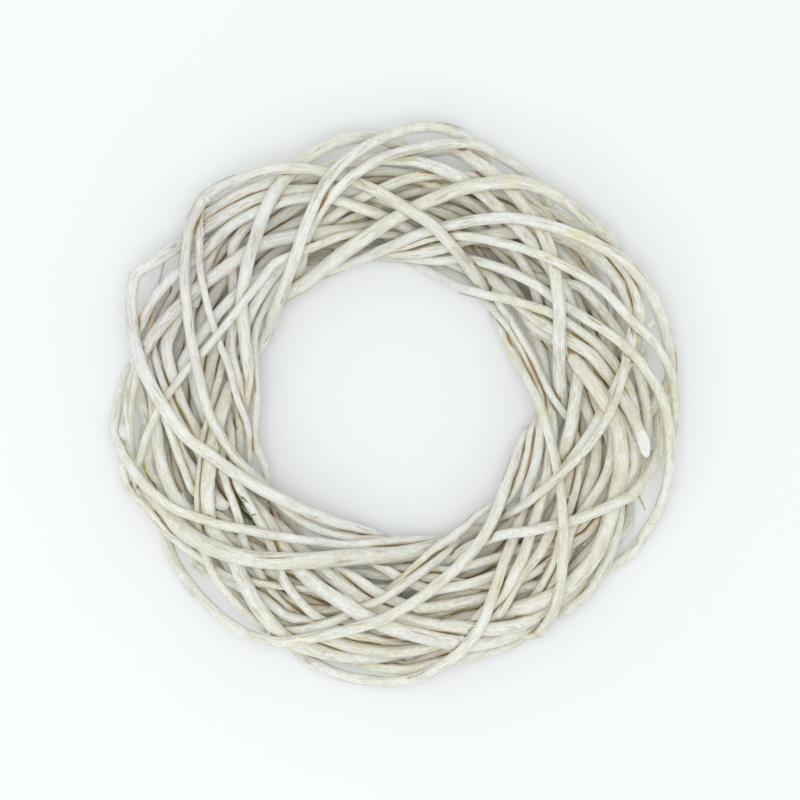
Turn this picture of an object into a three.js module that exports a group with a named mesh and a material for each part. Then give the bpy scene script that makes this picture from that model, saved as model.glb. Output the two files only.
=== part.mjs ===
// Willow wreath: long willow rods wound round a ring in both directions, their ends tucked in.
// Millimetres, +Z up. The wreath lies flat; the origin is under the middle of its outer box.
import * as THREE from 'three';

// Driving dimensions of the ring's body, measured between rod centrelines.
const RING_RADIUS = 111;
const HALF_WIDTH = 39;
const MID_HEIGHT = 24;
const CROWN = 20;
const BELLY = 20.5;

// The hole is kept clear to this radius, and rods that touch keep this gap.
const HOLE_RADIUS = 66;
const CLEARANCE = 0.2;

// A rod's tube: its sides, the distance between its rings, how much its underside is flattened where it
// rests on the ground, and the bend in degrees that is kept sharp.
const SIDES = 6;
const RING_STEP = 19;
const FLATTENED = 0.15;
const SHARP_BEND = 38;

// Out of sight: degrees a rod turns round the bundle for each degree round the ring, how deep its ends
// are tucked in, how much nearer the body's middle it keeps, and the degrees between its way points.
const WIND_RATE = 2.3;
const TUCKED = 0.55;
const TUCK_START = 0.95;
const WAIST = 0.74;
const HIDDEN_STEP = 17;
const LEAST_DEPTH = 0.85;
const LEAST_TURN = 60;

// A way point further than this from the ring's middle radius is on a turn round the bundle's edge.
const EDGE = 26;
const SEED = 4021;

// Rods wound inwards: seen from above and going anticlockwise, they cross the top from the outer edge
// to the hole. Way points are [degrees round the ring, radius, lift above or below the crown line].
const INWARD = [
  {
    name: 'inward_rod_01', from: 5.8, to: 4.8, lead: 35, tail: 0,
    passes: [
      { at: [[322, 143], [330, 148], [340, 150.5], [350, 147.5], [0, 142.5], [8, 133.5], [15, 124],
        [25, 110], [33, 102, -4], [40, 98], [50, 92.5], [60, 89, -4]] },
      { at: [[171, 142], [178, 146.5], [186, 150.3], [192, 145], [200, 136.5], [207, 125.5],
        [215, 110.5], [222, 100], [230, 91.5], [240, 83.5], [250, 79, -3], [260, 75], [272, 72.3],
        [283, 74], [291, 77]] },
    ],
  },
  {
    name: 'inward_rod_02', from: 5.8, to: 3.6, lead: 30, tail: 30,
    passes: [
      { at: [[353, 147], [0, 148.5], [7, 147], [13, 141], [20, 132], [30, 124.5], [38, 116.5],
        [45, 110.5, 3], [55, 103.5], [65, 97.5], [72, 95, -4]] },
      { at: [[191, 148], [197, 148.3], [203, 141.5], [210, 137], [217, 131.5, -3], [221, 131, -5]] },
    ],
  },
  {
    name: 'inward_rod_03', from: 7.2, to: 4.8, lead: 30, tail: 40,
    passes: [
      { at: [[5, 147], [14, 148.7], [25, 147], [33, 142], [40, 134.5], [50, 124, 2], [60, 114.5],
        [68, 104.5], [76, 96, -4], [85, 89], [95, 82.5], [105, 79.5], [118, 79.5], [130, 82]] },
    ],
  },
  {
    name: 'inward_rod_04', from: 7.2, to: 9.6, lead: 30, tail: 45,
    passes: [
      { at: [[37, 144], [45, 140.5], [55, 139], [62, 133.5, 3], [70, 123], [78, 113], [87, 102, -4],
        [95, 95], [105, 88], [115, 84], [130, 83.5]] },
      { at: [[197, 141], [203, 138], [210, 131.5], [220, 120.5, 2], [230, 107.5], [240, 95.5],
        [250, 86.5], [262, 80.8], [275, 79], [288, 79, -4], [300, 79.5, -6]] },
    ],
  },
  {
    name: 'inward_rod_05', from: 5, to: 6.2, lead: 30, tail: 35,
    passes: [
      { at: [[57, 140], [65, 142.5], [72, 144], [80, 140], [90, 133], [100, 124, 3], [108, 114],
        [114, 107], [119, 99, -4], [126, 88.5, -4], [133, 83.5, -4]] },
      { at: [[208, 139], [216, 144.5], [226, 145.5], [235, 145], [242, 141.5], [249, 132], [256, 123.5],
        [263, 117, 4], [271, 109, 2], [280, 100], [290, 92.5], [300, 86.5, 2], [312, 79.5], [325, 73.5],
        [338, 71.5], [347, 72.5]] },
    ],
  },
  {
    name: 'inward_rod_06', from: 5.8, to: 6.4, lead: 25, tail: 0,
    passes: [
      { at: [[74, 146.5], [82, 149.5], [90, 144.5], [97, 137, 1], [104, 129.5, 3], [110, 118.5, 2],
        [120, 101.5, 3], [130, 89.5], [140, 83], [150, 79]] },
      { at: [[246, 136.5], [257, 137.5], [265, 139], [272, 141], [278, 138.8, -3], [284, 138, -3],
        [293, 140.7], [302, 139.7]] },
    ],
  },
  {
    name: 'inward_rod_07', from: 7.8, to: 4.8, lead: 28, tail: 0,
    passes: [
      { at: [[92, 141], [98, 143.7], [106, 141.2], [113, 136, -4], [120, 129], [130, 115.5],
        [140, 104.5], [148, 96.5, -4], [157, 87], [167, 81], [180, 78]] },
      { at: [[247, 140], [255, 145.3], [265, 147], [273, 146], [280, 140, 2], [288, 130, 3], [296, 116],
        [304, 102], [312, 92, -4], [320, 86, -3], [330, 81.5, -3], [345, 78.7, -3], [358, 78, -3],
        [10, 75], [22, 72.3], [35, 72.2], [47, 73.5], [62, 76], [78, 79], [90, 83]] },
    ],
  },
  {
    name: 'inward_rod_08', from: 6.6, to: 4.8, lead: 20, tail: 40, arrives: 'outward',
    passes: [
      { at: [[50, 78.5, -3], [60, 82.5, 3], [68, 88, 3], [77, 96, 4], [87, 104.2, 4], [94, 112],
        [100, 120.5, -4], [108, 129.7, -3], [114, 137.5, 3], [122, 144, 6], [132, 150, 8],
        [138, 145, 6], [145, 136, 3], [152, 126, 3], [160, 116], [168, 108, 4], [176, 103], [185, 97.5],
        [195, 92.5], [203, 86.5, -4], [212, 82, -4], [222, 80.3, -3], [235, 78.4, -3], [246, 75.8, -3],
        [256, 73.8, -3], [267, 72.5]] },
    ],
  },
  {
    name: 'inward_rod_09', from: 5.6, to: 3.5, lead: 30, tail: 35,
    passes: [
      { at: [[302, 140], [307, 135.7, 2], [313, 127, 2], [320, 115, 2], [326, 106, 4], [334, 96, -3],
        [342, 87.5, -1], [350, 82], [2, 75.5], [15, 70.5], [27, 69], [40, 70]] },
      { at: [[118, 136], [126, 141], [134.5, 146, 2], [138, 140, 2], [143, 130.5], [150, 116.5],
        [158, 103, -4], [165, 93], [175, 85], [185, 81], [194, 79.5]] },
    ],
  },
  {
    name: 'inward_rod_10', from: 7.2, to: 5.8, lead: 50, tail: 30, arrives: 'outward',
    passes: [
      { at: [[120, 129, -9], [130, 135, -7], [140, 141.5, -3], [147, 146.3, 4], [153.5, 155, 12],
        [158, 151, 4], [165, 143.5, 2], [172, 134.5, 4], [180, 123.5, 3], [190, 110, 3], [200, 95, 4],
        [207, 88.5, 2], [217, 80.5], [230, 73.5], [240, 71], [252, 69], [265, 71]] },
      { at: [[304, 139, -2], [310, 142], [317, 142], [323, 139, -3], [330, 134, -3], [336, 129, -5]] },
    ],
  },
  {
    name: 'inward_rod_11', from: 8.6, to: 7.4, lead: 45, tail: 80,
    passes: [
      { at: [[290, 121, -12], [298, 128, -8], [308, 132, -4], [317, 133.6, -3], [325, 131.5, -3],
        [336, 127, -4], [345, 123.5], [352, 119.7], [358, 115, -4], [5, 106.5], [13, 99],
        [22, 94.5, -5]] },
    ],
  },
  {
    name: 'inward_rod_12', from: 5.4, to: 4, lead: 45, tail: 35,
    passes: [
      { at: [[8, 118.5, -5], [15, 111, -5], [22, 102, -4], [28, 96.5, -4], [35, 89, -2], [43, 81],
        [52, 74.5], [63, 71], [75, 73.5], [90, 81]] },
      { at: [[148, 147], [153, 143.5], [158, 138.7, -1], [164, 136, -5]] },
    ],
  },
  {
    name: 'inward_rod_13', from: 6.6, to: 5.6, lead: 0, tail: 150,
    passes: [
      { at: [[351, 132.5, 1], [355, 127, 1], [359, 122, -2], [4, 117, -5]] },
    ],
  },
  {
    name: 'inward_rod_14', from: 6.6, to: 5.8, lead: 50, tail: 50,
    passes: [
      { depth: 7, at: [[156, 124.5], [163, 126.8], [170, 122.3], [178, 115], [188, 106.5]] },
      { depth: 7, at: [[306, 110], [313, 108], [321, 106]] },
    ],
  },
  {
    name: 'inward_rod_15', from: 5.4, to: 3.8, lead: 50, tail: 20,
    passes: [
      { depth: 8, at: [[168, 112], [178, 105.7], [188, 99.5]] },
      { depth: 8, at: [[326, 108], [336, 105], [346, 101], [356, 91], [5, 82], [15, 78], [27, 76.3],
        [45, 75]] },
    ],
  },
  {
    name: 'inward_rod_16', from: 5.2, to: 5.6, lead: 60, tail: 20,
    passes: [
      { depth: 7, at: [[80, 123.5], [90, 117.3], [100, 110.5], [110, 104], [120, 98], [130, 95],
        [142, 91.7], [152, 88.5]] },
      { depth: 8, at: [[236, 124], [242, 125.5], [250, 123], [262, 116], [276, 105], [292, 93],
        [306, 84.5, 2], [318, 79.5, 4], [328, 77.3, 5], [338, 75.5, 6], [350, 74.5, 6]] },
    ],
  },
  {
    name: 'inward_rod_17', from: 5.2, to: 3.8, lead: 60, tail: 30,
    passes: [
      { depth: 10, at: [[76, 119.5], [88, 111.5], [100, 103], [114, 98.5, -2], [125, 94, -3],
        [135, 89.5], [150, 86], [163, 81, 4], [175, 77.5, 6], [187, 77.7, 6], [200, 79.5, 4],
        [210, 79.5, 2]] },
    ],
  },
  {
    name: 'inward_rod_18', from: 6.8, to: 7, lead: 50, tail: 50,
    passes: [
      { depth: 6, at: [[22, 136], [27, 137.5], [34, 134.5], [46, 125]] },
      { depth: 8, at: [[183, 124], [192, 127], [202, 126.5], [210, 121.5]] },
    ],
  },
  {
    name: 'inward_rod_19', from: 5.4, to: 6, lead: 50, tail: 50,
    passes: [
      { depth: 6, at: [[15, 126], [22, 121.5], [32, 117]] },
      { depth: 7, at: [[152, 96.5], [163, 90], [178, 82.5]] },
    ],
  },
  {
    name: 'inward_rod_20', from: 7, to: 6, lead: 75, tail: 75,
    passes: [
      { depth: 9, at: [[333, 112], [342, 110.7], [350, 108.5]] },
    ],
  },
  {
    name: 'inward_rod_21', from: 5.4, to: 4.8, lead: 70, tail: 70,
    passes: [
      { depth: 7, at: [[328, 112], [336, 116], [346, 117], [353, 114.5]] },
    ],
  },
  {
    name: 'inward_rod_22', from: 5.4, to: 4.6, lead: 60, tail: 100,
    passes: [
      { depth: 5, at: [[338, 128], [346, 131.5], [353, 128.5]] },
    ],
  },
  {
    name: 'inward_rod_23', from: 5.4, to: 5, lead: 75, tail: 65,
    passes: [
      { depth: 9, at: [[230, 111.5], [240, 109.3], [249, 107]] },
    ],
  },
  {
    name: 'inward_rod_24', from: 4.4, to: 4, lead: 70, tail: 70,
    passes: [
      { depth: 6, at: [[186, 119.5], [196, 116.5], [205, 115.5]] },
    ],
  },
  {
    name: 'inward_rod_25', from: 5.2, to: 4.6, lead: 60, tail: 30,
    passes: [
      { depth: 11, at: [[226, 114.5], [234, 118], [242, 119.7], [249, 117], [255, 112], [268, 98, 2],
        [280, 86, 4], [292, 77.5, 8], [302, 76.3, 9], [312, 74.5, 9]] },
    ],
  },
  {
    name: 'inward_rod_26', from: 6.2, to: 7, lead: 80, tail: 0,
    passes: [
      { depth: 6, at: [[192, 119], [200, 113], [206, 109.5, 2], [210, 107, 8]] },
    ],
  },
  {
    name: 'inward_rod_27', from: 6.6, to: 6, lead: 60, tail: 25,
    passes: [
      { at: [[252, 130.5, -5], [262, 130.5, -6], [272, 130.5, -6], [282, 129.7, -6], [290, 123.5, -5],
        [296, 119.5], [303, 112.5], [311, 104.5], [319, 97.3, -4], [327, 92.8], [335, 91.3, -3],
        [345, 88.3, -4], [355, 85.3, -5], [5, 83.2, -5], [18, 83.3, -5], [30, 83, -5], [38, 82, -5]] },
    ],
  },
];

// Rods wound outwards: they cross the top from the hole to the outer edge.
const OUTWARD = [
  {
    name: 'outward_rod_01', from: 6.4, to: 8, lead: 50, tail: 30,
    passes: [
      { at: [[340, 84, -5], [350, 84, -5], [0, 85, -2], [10, 87.5, 1], [20, 93, 4], [30, 100, 4],
        [37, 106, 1], [43, 112, -4], [52, 121, -4], [62, 129.5, -4], [70, 135, -2], [78, 140, -5]] },
      { at: [[190, 97, -5], [200, 105], [207, 112, -3], [213, 118.5, -4], [221, 117.5, -4],
        [229, 123.5], [237, 130], [246, 135.5, -4]] },
    ],
  },
  {
    name: 'outward_rod_02', from: 5.8, to: 4.4, lead: 80, tail: 0,
    passes: [
      { at: [[311, 79, -3], [320, 84, 2], [330, 90, 4], [340, 97, 4], [350, 106, 4], [358, 113, 4],
        [5, 119, 3], [11.5, 124.5, 2]] },
    ],
  },
  {
    name: 'outward_rod_03', from: 8, to: 5.4, lead: 55, tail: 30,
    passes: [
      { depth: 5, at: [[341, 92], [350, 93.5], [2, 96], [15, 101.5], [30, 107], [45, 112], [58, 114.5],
        [66, 120], [75, 124.3], [86, 129.5], [98, 131], [110, 132.5], [118, 134.5], [126, 138, 3],
        [134, 142.5, 3]] },
    ],
  },
  {
    name: 'outward_rod_04', from: 4.8, to: 4, lead: 70, tail: 0,
    passes: [
      { at: [[105, 94.5, -7], [113, 93.5, -5], [121, 97, -4], [130, 98.5], [141, 97, 2], [148, 97.5, 4],
        [159, 101.5, 4], [166, 106.5, -4], [173, 115.5, -4], [180, 124, -4], [187, 133],
        [193, 140.5, -4], [198, 148]] },
    ],
  },
  {
    name: 'outward_rod_05', from: 8, to: 6.6, lead: 70, tail: 0,
    passes: [
      { at: [[130, 110, -5], [140, 115, -4], [152, 123.3, -4], [162, 131.5, -2], [170, 138, -4],
        [178, 140.7], [187.5, 145, 3]] },
    ],
  },
  {
    name: 'outward_rod_06', from: 7.4, to: 8.6, lead: 60, tail: 50,
    passes: [
      { at: [[237, 100, -5], [245, 103, -1], [255, 107.5, 2], [263, 112.5, -4], [272, 119],
        [280, 124, -1], [288, 130, -5]] },
    ],
  },
  {
    name: 'outward_rod_07', from: 7, to: 8, lead: 60, tail: 50,
    passes: [
      { depth: 6, at: [[245, 94.5], [255, 100], [264, 107], [273, 114], [282, 120], [291, 126]] },
    ],
  },
  {
    name: 'outward_rod_08', from: 5.4, to: 6.2, lead: 50, tail: 30,
    passes: [
      { at: [[305, 86, -4], [312, 91.5, 4], [320, 101.5, 4], [325, 109, -3], [331, 118, 1],
        [337, 130, 4], [343, 137.3, 2], [349, 141.3], [356, 141, -4]] },
      { depth: 6, at: [[108, 115.5], [120, 123.5], [132, 128.7], [144, 131], [151, 137, 3],
        [157, 139.7, 4], [165, 141, 2]] },
    ],
  },
  {
    name: 'outward_rod_09', from: 4, to: 5, lead: 60, tail: 0, leaves: 'inward',
    passes: [
      { at: [[217, 126.5, -3], [224, 132, 1], [232, 135.5, 2], [240, 138.5, 3], [246, 132.5, 2],
        [252, 123, 1], [259, 111.8, -4], [266, 103], [273, 94], [281, 86.3], [288, 81], [294, 78]] },
    ],
  },
  {
    name: 'outward_rod_10', from: 6.2, to: 5, lead: 50, tail: 40,
    passes: [
      { depth: 7, at: [[143, 102], [152, 105], [160, 109.5], [168, 115.5], [176, 119.5]] },
      { depth: 9, at: [[278, 99], [287, 101.7], [296, 104]] },
    ],
  },
  {
    name: 'outward_rod_11', from: 6.2, to: 5, lead: 50, tail: 40,
    passes: [
      { depth: 9, at: [[272, 107.5], [284, 110], [295, 113]] },
      { depth: 6, at: [[42, 97.5], [50, 101.5], [58, 107.5], [66, 113]] },
    ],
  },
  {
    name: 'outward_rod_12', from: 5.4, to: 5, lead: 80, tail: 80,
    passes: [
      { depth: 7, at: [[288, 93], [296, 95], [305, 97]] },
    ],
  },
  {
    name: 'outward_rod_13', from: 6.2, to: 5.4, lead: 100, tail: 60,
    passes: [
      { depth: 3, at: [[14, 131], [20, 138], [26, 142]] },
    ],
  },
  {
    name: 'outward_rod_14', from: 5.2, to: 4.8, lead: 80, tail: 80,
    passes: [
      { depth: 5, at: [[203, 93], [214, 93.3], [225, 97]] },
    ],
  },
  {
    name: 'outward_rod_15', from: 5.2, to: 5, lead: 80, tail: 80,
    passes: [
      { depth: 8, at: [[302, 113], [309, 115.7], [317, 116.7]] },
    ],
  },
  {
    name: 'outward_rod_16', from: 5, to: 4.4, lead: 80, tail: 70,
    passes: [
      { depth: 8, at: [[199, 98], [207, 98.5], [216, 103.5], [223, 108.5]] },
    ],
  },
];

// Core rods run nearly round the ring inside the bundle; the others are wound on them.
const CORE_COUNT = 5;
const CORE_SPAN = 325;
const CORE_POINTS = 18;
const CORE_RATE = 0.55;
const CORE_WIDTH = [5.6, 7.4];
const CORE_TAPER = 0.8;
const CORE_SPREAD = [0.1, 0.5];
const CORE_WANDER = 0.05;

function seededDraw(seed) {
  let state = seed;
  return (low, high) => {
    state = (state * 1664525 + 1013904223) % 4294967296;
    return low + (high - low) * (state / 4294967296);
  };
}

const draw = seededDraw(SEED);

// Height of the crown line at a radius: an ellipse that ends at the rod's own outer and inner turns.
function crownShare(radius, outerReach, innerReach) {
  const offset = radius - RING_RADIUS;
  const reach = offset > 0 ? outerReach : innerReach;
  return Math.sqrt(Math.max(0, 1 - (offset / reach) ** 2));
}

// Way points of one pass over the top as [degrees, radius, height]. A rod lies below the middle before
// it has come round one edge and after it has gone round the other.
function passPoints(pass, arrives, leaves) {
  const depth = pass.depth ?? 0;
  const radii = pass.at.map((point) => point[1]);
  const outermost = radii.indexOf(Math.max(...radii));
  const before = radii.slice(0, outermost + 1);
  const after = radii.slice(outermost);
  const firstInner = before.indexOf(Math.min(...before));
  const lastInner = outermost + after.indexOf(Math.min(...after));
  const turns = (index) => depth === 0 && Math.abs(radii[index] - RING_RADIUS) > EDGE;
  const firstTurn = arrives === 'inward' ? outermost : firstInner;
  const lastTurn = leaves === 'inward' ? lastInner : outermost;
  const outerReach = turns(outermost) ? radii[outermost] - RING_RADIUS : HALF_WIDTH;
  let previous = -Infinity;
  return pass.at.map((point, index) => {
    const [degrees, radius, lift = 0] = point;
    let angle = degrees;
    while (angle < previous) {
      angle += 360;
    }
    previous = angle;
    const innerTurn = index < outermost ? firstInner : lastInner;
    const innerReach = turns(innerTurn) ? RING_RADIUS - radii[innerTurn] : HALF_WIDTH;
    const below = (index < firstTurn && turns(firstTurn)) || (index > lastTurn && turns(lastTurn));
    const share = crownShare(radius, outerReach, innerReach);
    const height = below ? -share * BELLY : share * CROWN;
    return [angle, radius, MID_HEIGHT + height + lift - depth];
  });
}

// A point's place in the ring's section: how far out it lies and its bearing, in degrees.
function sectionPlace([, radius, height]) {
  const across = (radius - RING_RADIUS) / HALF_WIDTH;
  const rise = height - MID_HEIGHT;
  const up = rise / (rise > 0 ? CROWN : BELLY);
  return { spread: Math.hypot(across, up), bearing: THREE.MathUtils.radToDeg(Math.atan2(up, across)) };
}

// Out of sight the rods keep closer to the middle of the body than the ones that show: the waist.
function sectionPoint(degrees, spread, bearing, waist) {
  const turn = THREE.MathUtils.degToRad(bearing);
  const up = Math.sin(turn) * spread;
  const radius = RING_RADIUS + HALF_WIDTH * waist * spread * Math.cos(turn);
  return [degrees, radius, MID_HEIGHT + up * (up > 0 ? CROWN : BELLY)];
}

// The stretch that joins two passes under the wreath.
function underPoints(start, end, sense, spread) {
  const first = sectionPlace(start);
  const last = sectionPlace(end);
  let bearing = last.bearing;
  while ((bearing - first.bearing) * sense < LEAST_TURN) {
    bearing += 360 * sense;
  }
  const count = Math.max(2, Math.round((end[0] - start[0]) / HIDDEN_STEP));
  const points = [];
  for (let step = 1; step < count; step += 1) {
    const share = step / count;
    const plain = THREE.MathUtils.lerp(first.spread, last.spread, share);
    const middle = Math.sin(Math.PI * share);
    points.push(sectionPoint(
      THREE.MathUtils.lerp(start[0], end[0], share),
      THREE.MathUtils.lerp(plain, spread, middle),
      THREE.MathUtils.lerp(first.bearing, bearing, share),
      THREE.MathUtils.lerp(1, WAIST, middle),
    ));
  }
  return points;
}

// A rod's hidden end: it keeps winding and is tucked into the bundle.
function tuckedPoints(start, span, direction, sense) {
  const { spread, bearing } = sectionPlace(start);
  const count = Math.max(1, Math.round(span / HIDDEN_STEP));
  const points = [];
  for (let step = 1; step <= count; step += 1) {
    const share = step / count;
    points.push(sectionPoint(
      start[0] + direction * span * share,
      THREE.MathUtils.lerp(Math.min(spread, TUCK_START), TUCKED, share),
      bearing + direction * sense * WIND_RATE * span * share,
      THREE.MathUtils.lerp(1, WAIST, Math.min(1, share * 2)),
    ));
  }
  return points;
}

function senseOf(winding) {
  return winding === 'inward' ? 1 : -1;
}

// All way points of a rod, each with how firmly it keeps its place as seen from above.
function rodRoute(rod, winding) {
  const arrives = rod.arrives ?? winding;
  const leaves = rod.leaves ?? winding;
  const route = [];
  rod.passes.forEach((pass, index) => {
    const points = passPoints(pass, index === 0 ? arrives : leaves, leaves);
    if (index > 0) {
      const start = route[route.length - 1].point;
      while (points[0][0] < start[0]) {
        points.forEach((point) => {
          point[0] += 360;
        });
      }
      const under = underPoints(start, points[0], senseOf(leaves), draw(LEAST_DEPTH, 1));
      route.push(...under.map((point) => ({ point, firm: 0 })));
    }
    route.push(...points.map((point) => ({ point, firm: 1 })));
  });
  if (rod.lead > 0) {
    const before = tuckedPoints(route[0].point, rod.lead, -1, senseOf(arrives));
    route.unshift(...before.reverse().map((point) => ({ point, firm: 0 })));
  }
  if (rod.tail > 0) {
    const after = tuckedPoints(route[route.length - 1].point, rod.tail, 1, senseOf(leaves));
    route.push(...after.map((point) => ({ point, firm: 0 })));
  }
  return route;
}

function coreRoute() {
  const start = draw(0, 360);
  const spread = draw(...CORE_SPREAD);
  const bearing = draw(0, 360);
  const sense = draw(-1, 1) > 0 ? 1 : -1;
  const route = [];
  for (let turned = 0; turned <= CORE_SPAN; turned += CORE_SPAN / CORE_POINTS) {
    const wandering = spread + draw(-CORE_WANDER, CORE_WANDER);
    const turning = bearing + sense * CORE_RATE * turned;
    route.push({ point: sectionPoint(start + turned, wandering, turning, 1), firm: 0 });
  }
  return route;
}

function toPlace([degrees, radius, height]) {
  const turn = THREE.MathUtils.degToRad(degrees);
  return new THREE.Vector3(radius * Math.cos(turn), radius * Math.sin(turn), height);
}

// Rings of a rod: evenly spaced along a smooth curve, with a ring kept at each sharp kink.
function layRings(route, from, to) {
  const places = route.map((entry) => toPlace(entry.point));
  const corners = [0];
  for (let index = 1; index < places.length - 1; index += 1) {
    const before = places[index].clone().sub(places[index - 1]);
    const after = places[index + 1].clone().sub(places[index]);
    if (THREE.MathUtils.radToDeg(before.angleTo(after)) > SHARP_BEND) {
      corners.push(index);
    }
  }
  corners.push(places.length - 1);
  const centres = [];
  const firmness = [];
  for (let piece = 0; piece < corners.length - 1; piece += 1) {
    const stretch = places.slice(corners[piece], corners[piece + 1] + 1);
    const firm = route.slice(corners[piece], corners[piece + 1] + 1).map((entry) => entry.firm);
    const curve = new THREE.CatmullRomCurve3(stretch, false, 'centripetal');
    const count = Math.max(1, Math.round(curve.getLength() / RING_STEP));
    for (let step = piece === 0 ? 0 : 1; step <= count; step += 1) {
      const along = curve.getUtoTmapping(step / count);
      centres.push(curve.getPoint(along));
      firmness.push(firm[Math.round(along * (firm.length - 1))]);
    }
  }
  const radii = centres.map((_, index) => THREE.MathUtils.lerp(from, to, index / (centres.length - 1)) / 2);
  return { centres, firmness, radii, target: centres.map((centre) => centre.clone()) };
}

const rods = [];
for (const [list, winding] of [[INWARD, 'inward'], [OUTWARD, 'outward']]) {
  for (const rod of list) {
    rods.push({ name: rod.name, ...layRings(rodRoute(rod, winding), rod.from, rod.to) });
  }
}
for (let number = 1; number <= CORE_COUNT; number += 1) {
  const width = draw(...CORE_WIDTH);
  rods.push({ name: `core_rod_${number}`, ...layRings(coreRoute(), width, width - CORE_TAPER) });
}

// Settling: rods are pushed apart where they would cross each other, sag towards the ones below, stay
// near their way points as seen from above, and rest on the ground plane.
const UP = new THREE.Vector3(0, 0, 1);
const APOTHEM = Math.cos(Math.PI / SIDES);
const PAIR_MARGIN = 14;
const PAIR_REACH = RING_STEP + PAIR_MARGIN;
const PAIR_ROUNDS = 5;
const NEAR = 3;
const SETTLED = 0.02;
const TINY = 1e-6;

function setFrames(rod) {
  const last = rod.centres.length - 1;
  rod.side = [];
  rod.up = [];
  for (let index = 0; index <= last; index += 1) {
    const ahead = rod.centres[Math.min(index + 1, last)];
    const behind = rod.centres[Math.max(index - 1, 0)];
    const tangent = ahead.clone().sub(behind).normalize();
    const up = UP.clone().addScaledVector(tangent, -UP.dot(tangent)).normalize();
    rod.up.push(up);
    rod.side.push(tangent.clone().cross(up));
  }
}

// How far a ring's corners reach from its centre along a direction.
function ringReach(rod, index, direction) {
  const across = direction.dot(rod.side[index]);
  const upward = direction.dot(rod.up[index]);
  let reach = 0;
  for (let corner = 0; corner < SIDES / 2; corner += 1) {
    const turn = (corner * 2 * Math.PI) / SIDES;
    reach = Math.max(reach, Math.abs(across * Math.cos(turn) + upward * Math.sin(turn)));
  }
  return reach * rod.radii[index];
}

const alongFirst = new THREE.Vector3();
const alongSecond = new THREE.Vector3();
const between = new THREE.Vector3();

// Shares along two straight stretches where they come closest.
function closestShares(start1, end1, start2, end2) {
  alongFirst.subVectors(end1, start1);
  alongSecond.subVectors(end2, start2);
  between.subVectors(start1, start2);
  const a = alongFirst.lengthSq();
  const e = alongSecond.lengthSq();
  const b = alongFirst.dot(alongSecond);
  const c = alongFirst.dot(between);
  const f = alongSecond.dot(between);
  const spread = a * e - b * b;
  let first = spread > TINY ? THREE.MathUtils.clamp((b * f - c * e) / spread, 0, 1) : 0.5;
  let second = (b * first + f) / e;
  if (second < 0 || second > 1) {
    second = THREE.MathUtils.clamp(second, 0, 1);
    first = THREE.MathUtils.clamp((b * second - c) / a, 0, 1);
  }
  return [first, second];
}

function nearbyPairs() {
  const cells = new Map();
  const stretches = [];
  rods.forEach((rod, rodIndex) => {
    for (let index = 0; index < rod.centres.length - 1; index += 1) {
      const middle = rod.centres[index].clone().add(rod.centres[index + 1]).multiplyScalar(0.5);
      stretches.push({ rodIndex, index, middle });
    }
  });
  stretches.forEach((stretch, order) => {
    const cell = [stretch.middle.x, stretch.middle.y].map((value) => Math.floor(value / PAIR_REACH)).join();
    if (!cells.has(cell)) {
      cells.set(cell, []);
    }
    cells.get(cell).push(order);
  });
  const pairs = [];
  stretches.forEach((stretch, order) => {
    const column = Math.floor(stretch.middle.x / PAIR_REACH);
    const row = Math.floor(stretch.middle.y / PAIR_REACH);
    for (let dx = -1; dx <= 1; dx += 1) {
      for (let dy = -1; dy <= 1; dy += 1) {
        for (const other of cells.get([column + dx, row + dy].join()) ?? []) {
          const mate = stretches[other];
          const near = mate.middle.distanceTo(stretch.middle) < PAIR_REACH;
          if (other > order && mate.rodIndex !== stretch.rodIndex && near) {
            pairs.push([rods[stretch.rodIndex], stretch.index, rods[mate.rodIndex], mate.index]);
          }
        }
      }
    }
  });
  return pairs;
}

const onFirst = new THREE.Vector3();
const onSecond = new THREE.Vector3();
const apart = new THREE.Vector3();

// Moves a ring along the line between two rods; one that shows gives way sideways less than in height.
function shift(rod, index, amount, sideways) {
  const across = rod.firmness[index] ? sideways : 1;
  rod.centres[index].x += apart.x * amount * across;
  rod.centres[index].y += apart.y * amount * across;
  rod.centres[index].z += apart.z * amount;
}

// Pushes one pair of stretches apart and returns how much they lacked.
function partPair([rod1, i, rod2, j], { clearance, strength, sideways }) {
  const [start1, end1] = [rod1.centres[i], rod1.centres[i + 1]];
  const [start2, end2] = [rod2.centres[j], rod2.centres[j + 1]];
  const [first, second] = closestShares(start1, end1, start2, end2);
  onFirst.lerpVectors(start1, end1, first);
  onSecond.lerpVectors(start2, end2, second);
  apart.subVectors(onSecond, onFirst);
  const distance = apart.length();
  if (distance > rod1.radii[i] + rod2.radii[j] + NEAR) {
    return 0;
  }
  if (distance < TINY) {
    apart.set(0, 0, 1);
  } else {
    apart.multiplyScalar(1 / distance);
  }
  const near = Math.max(
    start1.dot(apart) + ringReach(rod1, i, apart),
    end1.dot(apart) + ringReach(rod1, i + 1, apart),
  );
  const far = Math.min(
    start2.dot(apart) - ringReach(rod2, j, apart),
    end2.dot(apart) - ringReach(rod2, j + 1, apart),
  );
  const lacking = clearance - (far - near);
  if (lacking <= 0) {
    return 0;
  }
  const weight = (1 - first) ** 2 + first ** 2 + (1 - second) ** 2 + second ** 2;
  const push = (lacking * strength) / weight;
  shift(rod1, i, -push * (1 - first), sideways);
  shift(rod1, i + 1, -push * first, sideways);
  shift(rod2, j, push * (1 - second), sideways);
  shift(rod2, j + 1, push * second, sideways);
  return lacking;
}

// No rod goes below the ground plane or into the hole.
function keepWithin() {
  for (const rod of rods) {
    rod.centres.forEach((centre, index) => {
      const out = Math.hypot(centre.x, centre.y);
      const least = HOLE_RADIUS + rod.radii[index];
      if (out < least) {
        centre.x *= least / out;
        centre.y *= least / out;
      }
      centre.z = Math.max(centre.z, APOTHEM * rod.radii[index] - FLATTENED);
    });
  }
}

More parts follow.
